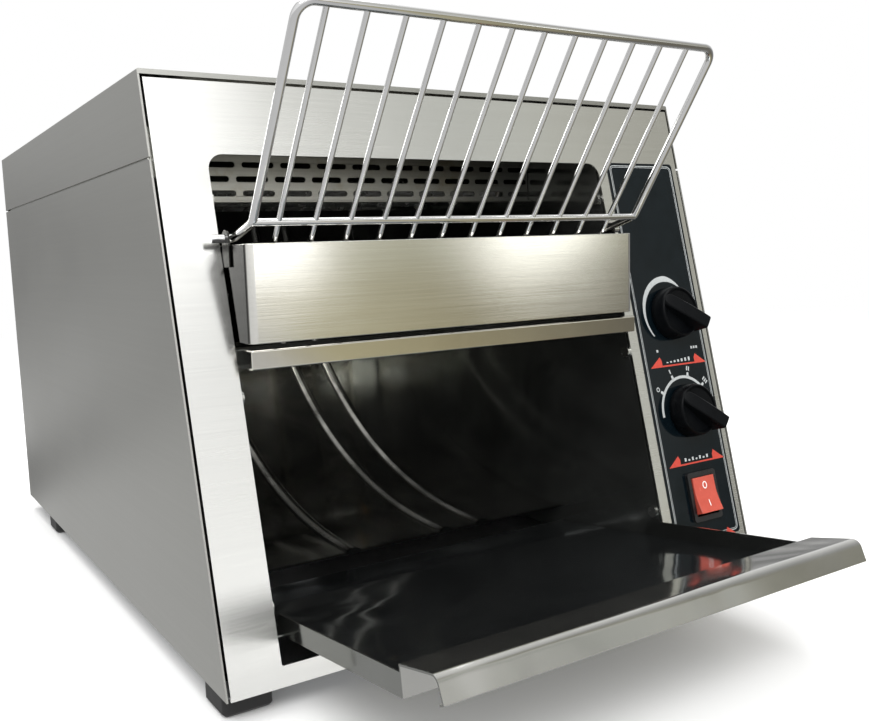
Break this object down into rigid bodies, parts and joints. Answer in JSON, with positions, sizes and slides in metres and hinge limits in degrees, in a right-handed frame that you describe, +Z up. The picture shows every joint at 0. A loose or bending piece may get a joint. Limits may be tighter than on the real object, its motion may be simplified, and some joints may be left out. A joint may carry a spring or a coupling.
{
  "type": "conveyor toaster oven",
  "caption": "Countertop conveyor oven for bread: sloping steel casing, wire feed rack, wire belt, curved chute, sliding tray, dial controls and rocker switch.",
  "frame": {"origin": "centre of the overall footprint (casing, projecting tray and cord entry) at counter level, under the rubber feet", "axes": "+Z up, +Y from the sloping front to the back, +X to the right as seen from the front"},
  "size_m": [0.37, 0.6126, 0.3186],
  "materials": {
    "side_steel": "satin brushed, grain along the depth",
    "front_steel": "bright satin brushed",
    "back_steel": "satin",
    "guard_steel": "fine horizontal brushing",
    "trim_polished": "polished",
    "chamber_steel": "dark mirror, soiled by heat",
    "chute_steel": "mirror polished",
    "tray_steel": "mirror polished",
    "baffle_steel": "mill finish",
    "reflector": "bright",
    "quartz": "frosted quartz",
    "ceramic": "unglazed",
    "belt_wire": "drawn wire, heat tinted",
    "machined_steel": "turned",
    "chain_steel": "oiled",
    "bronze": "sintered",
    "galvanised": "galvanised sheet",
    "motor_paint": "semi-gloss black",
    "chrome_wire": "bright plated wire",
    "overlay": "glossy film with printed lines",
    "knob_black": "satin moulded",
    "spindle_alu": "turned",
    "switch_plastic": "moulded",
    "bezel_black": "moulded",
    "rocker_red": "translucent glossy",
    "fan_plastic": "moulded",
    "cord_rubber": "smooth",
    "foot_rubber": "moulded",
    "screw_zinc": "zinc plated"
  },
  "bodies": {
    "casing": {"base_pan": "galvanised", "left_side_panel": "side_steel", "right_side_panel": "side_steel", "top_cover": "side_steel", "back_panel": "back_steel", "front_panel": "front_steel", "control_overlay": "overlay", "inner_left_wall": "chamber_steel", "inner_right_wall": "chamber_steel", "chute": "chute_steel", "tray_rails": "chamber_steel", "front_guard": "guard_steel", "rack_brackets": "guard_steel", "trim_bar": "trim_polished", "trim_channel": "chamber_steel", "slotted_baffle": "baffle_steel", "upper_reflector": "reflector", "lower_reflector": "reflector", "upper_heater_tubes": "quartz", "lower_heater_tubes": "quartz", "heater_ceramics": "ceramic", "conveyor_belt": "belt_wire", "shaft_bushes": "bronze", "drive_chain": "chain_steel", "motor_bracket": "galvanised", "gear_motor": "motor_paint", "speed_control": "switch_plastic", "heat_selector": "switch_plastic", "rocker_bezel": "bezel_black", "fan_frame": "fan_plastic", "fan_guard": "chrome_wire", "cord_grip": "fan_plastic", "power_cord": "cord_rubber", "terminal_block": "switch_plastic", "rubber_feet": "foot_rubber", "foot_screws": "screw_zinc", "casing_screws": "screw_zinc", "wall_screws": "screw_zinc", "fan_screws": "screw_zinc"},
    "tray": {"receiving_tray": "tray_steel"},
    "feed_rack": {"feed_rack": "chrome_wire"},
    "shade_knob": {"shade_knob": "knob_black", "shade_spindle": "spindle_alu"},
    "heat_knob": {"heat_knob": "knob_black", "heat_spindle": "spindle_alu"},
    "rocker": {"rocker_button": "rocker_red"},
    "front_roller": {"front_shaft": "machined_steel", "front_belt_discs": "machined_steel"},
    "drive_roller": {"drive_shaft": "machined_steel", "drive_belt_discs": "machined_steel", "driven_sprocket": "machined_steel"},
    "motor_output": {"motor_output_shaft": "machined_steel", "motor_sprocket": "machined_steel"},
    "fan": {"fan_rotor": "fan_plastic"}
  },
  "joints": [
    {"name": "tray_slide", "type": "slide", "parent": "casing", "child": "tray", "axis": [0, -0.9928, 0.1201], "range_m": [-0.05, 0.07]},
    {"name": "rack_tilt", "type": "hinge", "parent": "casing", "child": "feed_rack", "pos_m": [-0.026, -0.13922, 0.2242], "axis": [1, 0, 0], "range_deg": [-32, 0]},
    {"name": "shade_turn", "type": "hinge", "parent": "casing", "child": "shade_knob", "pos_m": [0.1498, -0.15089, 0.16917], "axis": [0, -0.972, 0.2348], "range_deg": [0, 260]},
    {"name": "heat_turn", "type": "hinge", "parent": "casing", "child": "heat_knob", "pos_m": [0.1498, -0.16599, 0.10667], "axis": [0, -0.972, 0.2348], "range_deg": [-105, 0]},
    {"name": "rocker_tilt", "type": "hinge", "parent": "casing", "child": "rocker", "pos_m": [0.149, -0.17313, 0.05156], "axis": [1, 0, 0], "range_deg": [0, 16]},
    {"name": "drive_spin", "type": "hinge", "parent": "casing", "child": "drive_roller", "pos_m": [-0.02, 0.15629, 0.19], "axis": [1, 0, 0], "continuous": true},
    {"name": "front_spin", "type": "hinge", "parent": "casing", "child": "front_roller", "pos_m": [-0.02, -0.10971, 0.19], "axis": [1, 0, 0], "continuous": true},
    {"name": "motor_spin", "type": "hinge", "parent": "casing", "child": "motor_output", "pos_m": [0.124, 0.15629, 0.096], "axis": [1, 0, 0], "continuous": true},
    {"name": "fan_spin", "type": "hinge", "parent": "casing", "child": "fan", "pos_m": [0.1395, 0.27128, 0.162], "axis": [0, 1, 0], "continuous": true}
  ],
  "couplings": [
    {"joint": "front_spin", "follows": "drive_spin", "ratio": 1},
    {"joint": "motor_spin", "follows": "drive_spin", "ratio": 2}
  ]
}
